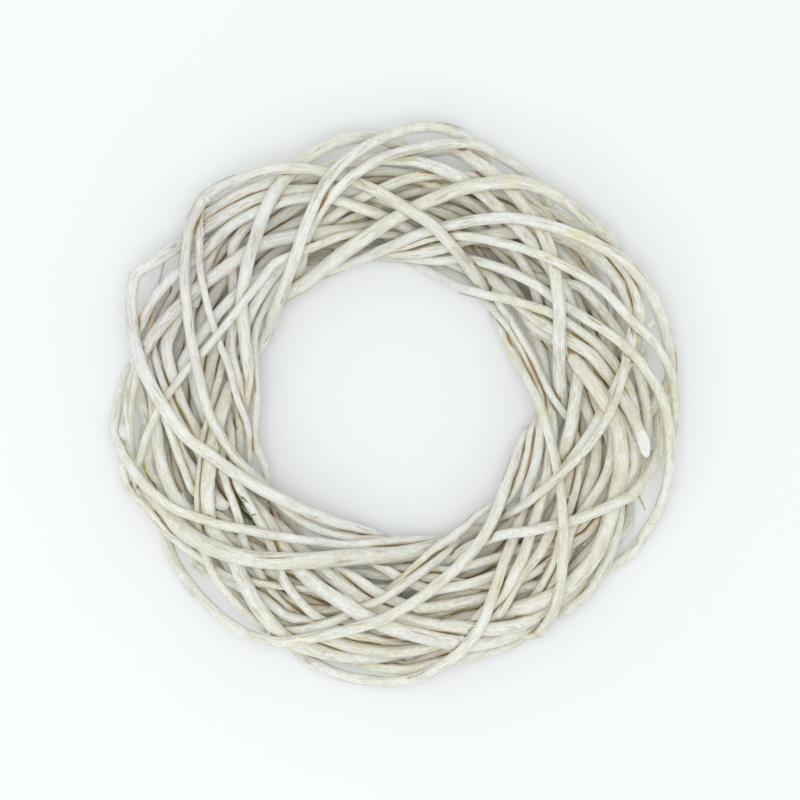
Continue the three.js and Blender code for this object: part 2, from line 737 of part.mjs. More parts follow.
function relax(settings) {
  for (const rod of rods) {
    const moved = rod.centres.map((centre, index) => centre.clone().sub(rod.target[index]));
    const last = moved.length - 1;
    rod.centres.forEach((centre, index) => {
      const around = moved[Math.max(index - 1, 0)].clone().lerp(moved[Math.min(index + 1, last)], 0.5);
      const offset = moved[index].clone().lerp(around, settings.even);
      const hold = rod.firmness[index] ? settings.firmHold : settings.looseHold;
      offset.x *= 1 - hold;
      offset.y *= 1 - hold;
      offset.z *= 1 - settings.heightHold;
      offset.z -= centre.z > MID_HEIGHT ? settings.sag : settings.sink;
      centre.copy(rod.target[index]).add(offset);
    });
  }
}

function settle(settings) {
  let worst = 0;
  let pairs = [];
  for (let round = 0; round < settings.rounds; round += 1) {
    if (round % PAIR_ROUNDS === 0) {
      pairs = nearbyPairs();
    }
    if (settings.relaxes) {
      relax(settings);
    }
    for (let sweep = 0; sweep < settings.sweeps; sweep += 1) {
      rods.forEach(setFrames);
      worst = 0;
      for (const pair of pairs) {
        worst = Math.max(worst, partPair(pair, settings));
      }
      keepWithin();
    }
    if (!settings.relaxes && worst < SETTLED) {
      break;
    }
  }
}

settle({
  rounds: 220, relaxes: true, even: 0.3, firmHold: 0.12, looseHold: 0.01, heightHold: 0.01, sag: 0.05,
  sink: 0.03, sweeps: 2, clearance: CLEARANCE, strength: 0.6, sideways: 0.4,
});
settle({ rounds: 400, relaxes: false, sweeps: 1, clearance: CLEARANCE, strength: 0.8, sideways: 0.7 });

// One closed tapered tube: a capped cylinder bent along the rod's rings, its underside flat on the ground.
function tubeGeometry(rod) {
  const last = rod.centres.length - 1;
  const geometry = new THREE.CylinderGeometry(1, 1, 1, SIDES, last);
  geometry.deleteAttribute('normal');
  geometry.deleteAttribute('uv');
  const position = geometry.getAttribute('position');
  const place = new THREE.Vector3();
  for (let vertex = 0; vertex < position.count; vertex += 1) {
    const [x, y, z] = [position.getX(vertex), position.getY(vertex), position.getZ(vertex)];
    const ring = Math.round((0.5 - y) * last);
    const out = Math.round(Math.hypot(x, z));
    const corner = Math.round((Math.atan2(x, z) * SIDES) / (2 * Math.PI));
    const turn = (((corner + SIDES) % SIDES) * 2 * Math.PI) / SIDES;
    place.copy(rod.centres[ring]);
    place.addScaledVector(rod.side[ring], out * rod.radii[ring] * Math.cos(turn));
    place.addScaledVector(rod.up[ring], out * rod.radii[ring] * Math.sin(turn));
    position.setXYZ(vertex, place.x, place.y, Math.max(place.z, 0));
  }
  geometry.computeBoundingBox();
  return geometry;
}

// Dry willow under a thin white wash: cream, some rods yellower or greyer than others.
function willow() {
  const colour = new THREE.Color();
  colour.setHSL(draw(0.11, 0.14), draw(0.14, 0.28), draw(0.68, 0.8));
  return new THREE.MeshStandardMaterial({ color: colour, roughness: 0.85, metalness: 0 });
}

rods.forEach(setFrames);
const bundle = new THREE.Group();
const box = new THREE.Box3();
for (const rod of rods) {
  const mesh = new THREE.Mesh(tubeGeometry(rod), willow());
  mesh.name = rod.name;
  bundle.add(mesh);
  box.union(mesh.geometry.boundingBox);
}
const middle = box.getCenter(new THREE.Vector3());
bundle.position.set(-middle.x, -middle.y, -box.min.z);

const wreath = new THREE.Group();
wreath.add(bundle);

export default wreath;
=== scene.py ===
import math

import bpy
import numpy as np
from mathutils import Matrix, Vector
from mathutils.bvhtree import BVHTree


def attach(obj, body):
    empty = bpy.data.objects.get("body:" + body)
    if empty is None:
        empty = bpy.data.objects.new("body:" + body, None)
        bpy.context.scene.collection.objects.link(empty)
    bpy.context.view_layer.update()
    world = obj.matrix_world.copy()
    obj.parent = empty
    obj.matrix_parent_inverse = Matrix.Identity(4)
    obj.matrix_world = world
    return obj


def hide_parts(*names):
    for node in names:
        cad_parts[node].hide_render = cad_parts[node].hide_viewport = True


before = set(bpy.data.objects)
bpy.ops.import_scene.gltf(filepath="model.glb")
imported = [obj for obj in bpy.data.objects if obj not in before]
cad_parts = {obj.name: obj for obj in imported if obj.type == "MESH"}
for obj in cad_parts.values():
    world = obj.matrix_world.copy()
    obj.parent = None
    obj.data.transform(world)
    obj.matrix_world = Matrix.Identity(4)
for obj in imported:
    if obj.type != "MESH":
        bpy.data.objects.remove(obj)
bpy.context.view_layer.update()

# The rods.
# Each is one year's shoot of willow, dried with its bark on, wound into the ring while it was wet and
# held by nothing but its neighbours. A rod is drawn as a sheet that is rolled up along the line that its
# solid takes, with the swellings of its buds, and closed at both cut ends.
MM = 0.001
ROUND = 20             # points round a rod
RING_STEP = 1.6 * MM   # from one ring of points to the next
KINK = 25              # degrees: a sharper bend than this is a kink
KINK_REACH = 0.65      # how far a kink's bend reaches to either side, in radii
POINTS_BETWEEN = 24    # points of the smooth line from one ring of the solid to the next
FEWEST_RINGS = 8
UPRIGHT = 0.94         # a rod is a little less high than wide
MICRONS = 1e6          # in a metre


def merged(node):
    """The corners and triangles of a rod's solid, each corner once."""
    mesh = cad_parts[node].data
    places = np.empty(len(mesh.vertices) * 3)
    mesh.vertices.foreach_get("co", places)
    corners = np.empty(len(mesh.loops), dtype=int)
    mesh.loops.foreach_get("vertex_index", corners)
    keys = np.round(places.reshape(-1, 3) * MICRONS).astype(np.int64)
    _, first, names = np.unique(keys, axis=0, return_index=True, return_inverse=True)
    return places.reshape(-1, 3)[first], names.ravel()[corners].reshape(-1, 3)


solids = {node: merged(node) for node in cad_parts}


def solid_line(node):
    """The middle and the radius of each ring of a rod's solid, from its thick end."""
    # An end of a solid is a corner with six neighbours that have fewer each. The rings follow from there.
    places, faces = solids[node]
    near = [set() for _ in places]
    for face in faces:
        for corner in face:
            near[corner].update(face)
    for corner, others in enumerate(near):
        others.discard(corner)
    poles = [c for c, others in enumerate(near) if len(others) == 6 and all(len(near[o]) < 6 for o in others)]
    seen = {poles[0]}
    ring = near[poles[0]]
    middles, radii = [], []
    while len(ring) > 1:
        corners = places[list(ring)]
        middle = corners.mean(axis=0)
        middles.append(middle)
        radii.append(np.linalg.norm(corners - middle, axis=1).max())
        seen |= ring
        ring = set().union(*(near[c] for c in ring)) - seen
    middles, radii = np.array(middles), np.array(radii)
    if radii[0] < radii[-1]:
        return middles[::-1], radii[::-1]
    return middles, radii


def unit(rows):
    """The same ways, each one long."""
    return rows / np.linalg.norm(rows, axis=-1, keepdims=True)


def bend_at(middles, i):
    """The ways into and out of one ring of the solid, and the bend between them in degrees."""
    before, after = unit(middles[i] - middles[i - 1]), unit(middles[i + 1] - middles[i])
    return before, after, math.degrees(math.acos(np.clip(before @ after, -1, 1)))


def smooth_line(middles, radii):
    """Even steps along a smooth line through the rings, with a tight bend where the rod is kinked."""
    points, widths = [middles[0]], [radii[0]]
    for i in range(1, len(middles) - 1):
        before, after, bend = bend_at(middles, i)
        if bend > KINK:
            reach = radii[i] * KINK_REACH
            points += [middles[i] - before * reach, middles[i] + after * reach]
            widths += [radii[i], radii[i]]
        else:
            points.append(middles[i])
            widths.append(radii[i])
    points.append(middles[-1])
    widths.append(radii[-1])
    points, widths = np.array(points), np.array(widths)
    ends = np.vstack([2 * points[0] - points[1], points, 2 * points[-1] - points[-2]])
    knots = np.concatenate([[0], np.cumsum(np.sqrt(np.linalg.norm(np.diff(ends, axis=0), axis=1)))])
    line, thick = [], []
    for i in range(1, len(ends) - 2):
        p0, p1, p2, p3 = ends[i - 1:i + 3]
        t0, t1, t2, t3 = knots[i - 1:i + 3]
        t = np.linspace(t1, t2, POINTS_BETWEEN, endpoint=False)[:, None]
        a1 = (t1 - t) / (t1 - t0) * p0 + (t - t0) / (t1 - t0) * p1
        a2 = (t2 - t) / (t2 - t1) * p1 + (t - t1) / (t2 - t1) * p2
        a3 = (t3 - t) / (t3 - t2) * p2 + (t - t2) / (t3 - t2) * p3
        b1 = (t2 - t) / (t2 - t0) * a1 + (t - t0) / (t2 - t0) * a2
        b2 = (t3 - t) / (t3 - t1) * a2 + (t - t1) / (t3 - t1) * a3
        line.append((t2 - t) / (t2 - t1) * b1 + (t - t1) / (t2 - t1) * b2)
        thick.append(np.interp(t.ravel(), [t1, t2], [widths[i - 1], widths[i]]))
    line = np.vstack(line + [points[-1:]])
    thick = np.concatenate(thick + [widths[-1:]])
    along = np.concatenate([[0], np.cumsum(np.linalg.norm(np.diff(line, axis=0), axis=1))])
    steps = np.linspace(0, along[-1], max(FEWEST_RINGS, round(along[-1] / RING_STEP)))
    even = np.stack([np.interp(steps, along, line[:, axis]) for axis in range(3)], axis=1)
    return even, np.interp(steps, along, thick), steps


def waver(steps, lengths, draw):
    """A slow uneven wave between about -1 and 1, from a few waves of the given lengths."""
    total = np.zeros_like(steps)
    for length in lengths:
        total += np.sin(steps * (2 * math.pi / length) + draw.uniform(0, 2 * math.pi))
    return total / len(lengths)


def deselect():
    if bpy.context.object and bpy.context.object.mode != "OBJECT":
        bpy.ops.object.mode_set(mode="OBJECT")
    bpy.ops.object.select_all(action="DESELECT")


def surfaces(nodes):
    """The solids of some rods in one tree, for finding what is near or above."""
    places, faces, count = [], [], 0
    for node in nodes:
        corners, sides = solids[node]
        places.append(corners)
        faces.append(sides + count)
        count += len(corners)
    return BVHTree.FromPolygons(np.vstack(places).tolist(), np.vstack(faces).tolist())


everything = surfaces(solids)
ABOVE_ALL = 200 * MM


def top_at(x, y):
    """The height of the topmost rod over one place, or of the table where there is none."""
    hit = everything.ray_cast(Vector((x, y, ABOVE_ALL)), Vector((0, 0, -1)))[0]
    return hit.z if hit else 0.0


def frames_along(line):
    """The way ahead, to the side and up at each point of a line."""
    tangent = unit(np.gradient(line, axis=0))
    up = unit(np.array([0, 0, 1.0]) - tangent * tangent[:, 2:3])
    return tangent, np.cross(tangent, up), up


def roll_up(name, rings, fields, material):
    """A closed piece from rows of points: a sheet laid on them, sewn up along its side and at its ends."""
    rows, columns = rings.shape[:2]
    deselect()
    bpy.ops.mesh.primitive_grid_add(x_subdivisions=columns - 1, y_subdivisions=rows - 1, size=1)
    piece = bpy.context.object
    piece.name = name
    mesh = piece.data
    mesh.vertices.foreach_set("co", np.ascontiguousarray(rings).reshape(-1))
    for label, values in fields.items():
        kind, field = ("FLOAT_VECTOR", "vector") if values.ndim == 3 else ("FLOAT", "value")
        spread = np.ascontiguousarray(np.broadcast_to(values, rings.shape[:2] + values.shape[2:]))
        mesh.attributes.new(label, kind, "POINT").data.foreach_set(field, spread.reshape(-1))
    bpy.ops.object.mode_set(mode="EDIT")
    bpy.ops.mesh.select_all(action="SELECT")
    bpy.ops.mesh.remove_doubles(threshold=1e-6)
    bpy.ops.mesh.normals_make_consistent(inside=False)
    bpy.ops.object.mode_set(mode="OBJECT")
    bpy.ops.object.shade_smooth_by_angle(angle=math.radians(50))
    mesh.materials.append(material)
    return piece


# A bud or a leaf scar stands every 13 to 31 mm, each turned on from the last by about the same angle. It is a
# small bump on a longer swelling of that side of the rod. Both rise by a share of the rod's radius.
BUD_GAP = (13 * MM, 31 * MM)
BUD_TURN, BUD_TURN_SPREAD = math.radians(137.5), 0.3
BUD_LENGTH, BUD_WIDTH, BUD_RISE = 1.4 * MM, 0.4, 0.1
SWELLING_LENGTH, SWELLING_RISE = 3.5 * MM, 0.03
BUD_SIZES = (0.2, 1.0)


def grow_buds(shape, steps, turn, draw):
    """The rod's section with its buds, and how much each point belongs to a bud."""
    bud = np.zeros((len(steps), ROUND + 1))
    place, bearing = draw.uniform(0, BUD_GAP[1]), draw.uniform(0, 2 * math.pi)
    while place < steps[-1]:
        away = (turn - bearing + math.pi) % (2 * math.pi) - math.pi
        along = (steps[:, None] - place) / BUD_LENGTH
        long = (steps[:, None] - place) / SWELLING_LENGTH
        size = draw.uniform(*BUD_SIZES)
        bump = np.exp(-(along ** 2) - (away / BUD_WIDTH) ** 2)
        swell = np.exp(-(long ** 2)) * (0.5 + 0.5 * np.cos(away))
        shape = shape + size * (BUD_RISE * bump + SWELLING_RISE * swell)
        bud = np.maximum(bud, size * bump)
        place += draw.uniform(*BUD_GAP)
        bearing += BUD_TURN + draw.uniform(-BUD_TURN_SPREAD, BUD_TURN_SPREAD)
    return shape, bud


# At a kink the bark is pushed into folds some 5 mm apart, which die out within a few millimetres. They rise
# by a share of the rod's radius.
FOLD_SPREAD, FOLD_LENGTH, FOLD_RISE = 5 * MM, 0.8 * MM, 0.06


def fold_kinks(shape, line, steps, middles):
    """The rod's section with the folds of its kinks, and how much each ring belongs to a kink."""
    kink = np.zeros(len(line))
    for i in range(1, len(middles) - 1):
        bend = bend_at(middles, i)[2]
        if bend > KINK:
            away = steps - steps[np.linalg.norm(line - middles[i], axis=1).argmin()]
            spread = np.exp(-(away / FOLD_SPREAD) ** 2) * min((bend - KINK) / KINK, 1)
            kink = np.maximum(kink, spread)
            shape = shape + FOLD_RISE * (spread * np.cos(away / FOLD_LENGTH))[:, None]
    return shape, kink


# What marks the rods where they show: drops of dried wash that stand a little proud, scars and pits in the
# bark, and lengths where the bark is yellower. Each is X, Y and size in millimetres. A drop rises and a scar
# sinks by a share of its size, and a mark is kept to the rod that lies on top there.
DROP_RISE, SCAR_RISE = 0.3, -0.2
MARK_DEPTH = 4 * MM
CHALK = [
    (-139.5, 23.0, 1.8), (-143.9, -23.2, 1.5), (-133.6, -9.9, 1.2), (-92.8, -36.3, 1.6),
    (-82.0, -98.9, 1.2), (-49.6, -89.3, 1.5), (-46.5, -108.7, 1.2), (-37.2, -110.2, 1.2), (32.3, -71.7, 1.8),
    (35.9, -123.5, 2.0), (75.8, -118.6, 1.3), (-50.8, 112.4, 1.4), (-76.1, 99.5, 1.5), (-99.1, 108.3, 1.4),
    (-10.3, 138.1, 1.6), (-13.8, 136.3, 1.2), (34.0, 120.0, 1.8), (13.4, 146.0, 1.8), (36.6, 144.1, 1.3),
    (65.5, -117.7, 1.5), (92.8, -49.5, 1.5), (128.7, 50.8, 2.2),
]
SCARS = [
    (-80.2, -97.8, 1.0), (21.6, -133.3, 1.3), (24.7, -113.9, 1.5), (62.4, -124.4, 1.0), (-69.2, -116.6, 1.0),
    (-46.6, -106.5, 1.6), (-35.1, -107.2, 1.5), (-4.6, -147.4, 0.9), (135.6, -63.5, 1.0), (148.9, -8.3, 0.8),
    (-119.0, -24.8, 1.2), (-102.6, -63.7, 1.2), (-114.8, -45.9, 1.0), (-111.8, -45.4, 1.0),
    (69.1, -98.4, 1.4), (99.1, -28.7, 1.6), (-8.0, 139.8, 1.2), (-100.9, 108.3, 1.3), (51.5, -81.9, 1.2),
    (5.8, 147.9, 1.0), (-84.2, -86.8, 0.8),
]
YELLOW = [
    (58.1, -115.9, 2.5), (97.1, 89.5, 6.0), (99.4, 82.4, 4.0), (1.6, -112.5, 5.0), (73.5, 12.4, 4.0),
    (68.5, 20.3, 5.0), (65.0, 26.9, 5.0), (61.4, 33.2, 5.0), (-136.4, 16.3, 5.0), (105.5, 32.4, 4.0),
    (-50.0, -125.6, 5.0), (-21.1, -123.6, 4.0), (77.4, -5.9, 5.0), (-26.8, 74.7, 5.0), (99.6, -28.9, 2.5),
    (63.0, 117.0, 4.0), (-124.3, 3.9, 3.0),
]
# Where the rods are colder over several rods, and where the wash is thinner and warmer. The cold zone round
# the middle is painted light: the cool light bounced up from the table onto the inner edge.
COLD = [(-103, 88, 50), (-130, 46, 44), (0, 0, 80)]
WARM = [(68, -84, 34), (108, -38, 40), (134, 5, 48)]


def sizes_away(rings, x, y, size):
    """How far each point lies from a place, as seen from above, in sizes of what lies there."""
    return np.linalg.norm(rings[..., :2] - np.array([x, y]) * MM, axis=-1) / (size * MM)


def mark(rings, outward):
    """A rod's surface with its drops and scars, and how much each point belongs to each kind of mark."""
    marks = {}
    for label, spots, rise in (("drop", CHALK, DROP_RISE), ("pit", SCARS, SCAR_RISE), ("ripe", YELLOW, 0.0)):
        marks[label] = np.zeros(rings.shape[:2])
        for x, y, size in spots:
            far = sizes_away(rings, x, y, size)
            below = np.abs(rings[..., 2] - top_at(x * MM, y * MM))
            if far.min() < 2 and below[far < 2].min() < MARK_DEPTH / 2:
                near = np.exp(-(far ** 2)) * (below < MARK_DEPTH)
                marks[label] = np.maximum(marks[label], near)
                rings = rings + outward * (near * size * rise * MM)[..., None]
    for label, zones in (("cold", COLD), ("warm", WARM)):
        marks[label] = np.zeros(rings.shape[:2])
        for x, y, size in zones:
            marks[label] = np.maximum(marks[label], np.exp(-(sizes_away(rings, x, y, size) ** 2)))
    return rings, marks


# An end is cut at a slant between these angles, holds a little chalk and is worn a little round, unless its
# own cut is given. The slant fades out along the rod, and smaller and smaller rings close the face.
CUT_TILT = (0.1, 0.5)
CUT_CHALK, CUT_WEAR = 0.35, 0.06
SAME_END = 12 * MM
FADE_SHARE, FADE_LENGTH = 2.2, 3 * MM
CAP_RINGS = (0.94, 0.8, 0.5, 0.0)
CAPS = len(CAP_RINGS)


def trim_ends(rings, line, tangent, thick, steps, turn, cuts, draw):
    """The rings with both ends cut and closed, and how much chalk each end holds."""
    chalked, worn = [CUT_CHALK, CUT_CHALK], [CUT_WEAR, CUT_WEAR]
    for end, way in ((0, -1), (-1, 1)):
        tilt, facing = draw.uniform(*CUT_TILT), draw.uniform(0, 2 * math.pi)
        for degrees, radius, slope, bearing, chalk, wear in cuts:
            around = math.radians(degrees)
            spot = radius * MM * np.array([math.cos(around), math.sin(around)])
            if np.linalg.norm(line[end, :2] - spot) < SAME_END:
                tilt, facing = math.radians(slope), math.radians(bearing)
                chalked[end], worn[end] = chalk, wear
        lean = -math.tan(tilt) * thick[end] * np.cos(turn - facing)
        from_end = np.abs(steps - steps[end])
        share = np.clip(1 - from_end / (FADE_SHARE * np.abs(lean).max() + FADE_LENGTH), 0, 1)
        rings = rings + (way * tangent * share[:, None])[:, None] * lean[None, :, None]
    caps = {}
    for label, ring, end, way in (("head", rings[0], 0, -1), ("tail", rings[-1], -1, 1)):
        middle = ring[:-1].mean(axis=0)
        bulge = way * tangent[end] * thick[end] * worn[end]
        caps[label] = [middle + (ring - middle) * share + bulge * (1 - share) ** 0.5 for share in CAP_RINGS]
    return np.concatenate([caps["head"][::-1], rings, caps["tail"]]), chalked


# Where rods press together the brush never reached and the bark stays brown, and the colour there is
# darkened further as painted shade between the rods. Deep between them, where other rods hide the sky, the
# darkening is painted shade alone. A place is close to another rod within 5 mm of it, and deep where others
# within 60 mm hide many of these 16 ways to the sky.
CLOSE = 5 * MM
SKY_REACH = 60 * MM
SKY = [Vector((math.cos(turn) * math.cos(rise), math.sin(turn) * math.cos(rise), math.sin(rise)))
       for rise, count in ((0.5, 6), (0.9, 6), (1.3, 4)) for turn in np.arange(count) * 2 * math.pi / count]


def closeness(rings, others):
    """1 where a point touches another rod and 0 where none is near: each second point, then those between."""
    close = np.zeros(rings.shape[:2])
    for i in range(0, len(rings), 2):
        for j in range(0, ROUND, 2):
            found = others.find_nearest(Vector(rings[i, j]), CLOSE)
            close[i, j] = 0 if found[3] is None else 1 - found[3] / CLOSE
    close[:, 1:-1:2] = (close[:, 0:-2:2] + np.roll(close[:, 0:-1:2], -1, axis=1)) / 2
    close[:, -1] = close[:, 0]
    odd = np.arange(1, len(rings) - 1, 2)
    close[odd] = (close[odd - 1] + close[odd + 1]) / 2
    return close


def depth(line, up, thick, others):
    """The share of the sky that other rods hide from a rod's back: each third ring, then those between."""
    sampled = range(0, len(line), 3)
    hidden = []
    for i in sampled:
        back = Vector(line[i] + up[i] * thick[i])
        hidden.append(sum(others.ray_cast(back, way, SKY_REACH)[0] is not None for way in SKY) / len(SKY))
    return np.interp(np.arange(len(line)), sampled, hidden)


# A rod strays from a smooth round one: its line goes to and fro by so many millimetres and its thickness by a
# share, both in waves of these lengths. Its section has two, three and five soft sides that turn along it.
WANDER, WANDER_WAVES = 0.22, (23 * MM, 37 * MM, 61 * MM)
UNEVEN, UNEVEN_WAVES = 0.05, (17 * MM, 29 * MM, 53 * MM, 91 * MM)
MEAN_THICKNESS = 0.98
TWO_SIDED, THREE_SIDED, FIVE_SIDED = 0.035, 0.025, 0.015
TWIST = 6  # radians at most at the start, and to either side over a metre
# Steps in the patterns from one rod to the next, in millimetres.
SHIFT_ACROSS, SHIFT_UP = 13.7, 7.9
lines = {}


def wind_rod(name, middles, radii, others, seed, material, cuts=()):
    """One round rod along a line of rings, with all that marks it."""
    draw = np.random.default_rng(seed)
    line, thick, steps = smooth_line(middles, radii)
    tangent, side, up = frames_along(line)
    line = line + side * (waver(steps, WANDER_WAVES, draw) * WANDER * MM)[:, None]
    thick = thick * (MEAN_THICKNESS + UNEVEN * waver(steps, UNEVEN_WAVES, draw))
    turn = np.linspace(0, 2 * math.pi, ROUND + 1)
    turn[-1] = 0
    twist = draw.uniform(0, TWIST) + steps[:, None] * draw.uniform(-TWIST, TWIST)
    shape = 1 + TWO_SIDED * np.cos(2 * (turn + twist)) + THREE_SIDED * np.cos(3 * turn - 2 * twist)
    shape = shape + FIVE_SIDED * np.cos(5 * turn + 3 * twist)
    shape, bud = grow_buds(shape, steps, turn, draw)
    shape, kink = fold_kinks(shape, line, steps, middles)
    reach = thick[:, None] * shape
    line[:, 2] = np.maximum(line[:, 2], (reach * UPRIGHT).max(axis=1))
    lines[name] = (line, side, up, thick)
    outward = side[:, None] * np.cos(turn)[:, None] + up[:, None] * (np.sin(turn) * UPRIGHT)[:, None]
    rings, marks = mark(line[:, None] + outward * reach[..., None], outward)
    rings, chalked = trim_ends(rings, line, tangent, thick, steps, turn, cuts, draw)
    inset = np.concatenate([CAP_RINGS[::-1], np.ones(len(steps)), CAP_RINGS]) * np.pad(thick, CAPS, "edge")
    cut = np.zeros(rings.shape[:2])
    cut[:CAPS], cut[-CAPS:] = chalked
    grain = np.stack([
        inset[:, None] * np.cos(turn) / MM + seed * SHIFT_ACROSS,
        inset[:, None] * np.sin(turn) / MM + seed * SHIFT_UP,
        np.broadcast_to(np.pad(steps, CAPS, "edge")[:, None], cut.shape) / MM,
    ], axis=-1)
    fields = {label: np.pad(near, ((CAPS, CAPS), (0, 0))) for label, near in {**marks, "bud": bud}.items()}
    fields["grain"] = grain
    fields["cut"] = cut
    # How close other rods lie, which the material paints into the colour as shade and as unwashed bark.
    fields["close"] = closeness(rings, others)
    # The share of sky that other rods hide, which the material paints into the colour as shade.
    fields["deep"] = np.pad(depth(line, up, thick, others), CAPS, "edge")[:, None]
    fields["kink"] = np.pad(kink, CAPS)[:, None]
    fields["tone"] = np.full((1, 1), draw.uniform(0, 1))
    return roll_up(name, rings, fields, material)


# Dried willow bark under a thin coat of white emulsion, brushed on and wiped off: cream wood shows
# through in long streaks along the grain, chalky white stays in the dips, and where two rods press
# together the brush never reached and the bark stays brown. Shade between and under the rods is also
# painted into the colour. It is matt.
def linear(code):
    """A colour in the shader's linear numbers from its written sRGB code."""
    parts = [int(code[i:i + 2], 16) / 255 for i in (1, 3, 5)]
    return [p / 12.92 if p <= 0.04045 else ((p + 0.055) / 1.055) ** 2.4 for p in parts] + [1]


def add(tree, kind, settings, links):
    """A node with its settings, its sockets' values, its ramp's stops and its links."""
    node = tree.nodes.new(kind)
    for key, value in settings.items():
        if key == "stops":
            band = node.color_ramp
            for number, (place, colour) in enumerate(value):
                stop = band.elements[number] if number < 2 else band.elements.new(place)
                stop.position = place
                stop.color = linear(colour)
        elif isinstance(key, int) or key in node.inputs:
            node.inputs[key].default_value = value
        else:
            setattr(node, key, value)
    for key, source in links.items():
        tree.links.new(source, node.inputs[key])
    return node


# Each pattern: how far it is drawn out along the rod, its lumps to the millimetre, its detail and roughness.
PATTERNS = {
    "tide": (0.4, 0.035, 2, 0.5),     # warmer and cooler lengths, some 30 by 70 mm
    "patch": (0.3, 0.15, 3, 0.55),    # thicker and thinner wash, 7 by 22 mm
    "blotch": (0.28, 0.38, 5, 0.65),  # brush streaks, 2.6 by 9 mm
    "fleck": (0.42, 0.9, 3, 0.7),     # 1 by 2.5 mm
    "speck": (0.8, 1.5, 2, 0.5),      # 0.7 mm
    "fibre": (0.09, 1.2, 4, 0.6),     # 0.8 mm wide and 9 mm long
    "wrinkle": (0.1, 0.45, 4, 0.65),  # folds of the bark, 2 by 20 mm
    "crease": (2.2, 0.35, 3, 0.6),    # cross cracks at a sharp bend
}
FIELDS = ("tone", "close", "deep", "bud", "kink", "drop", "pit", "ripe", "cold", "warm", "cut")


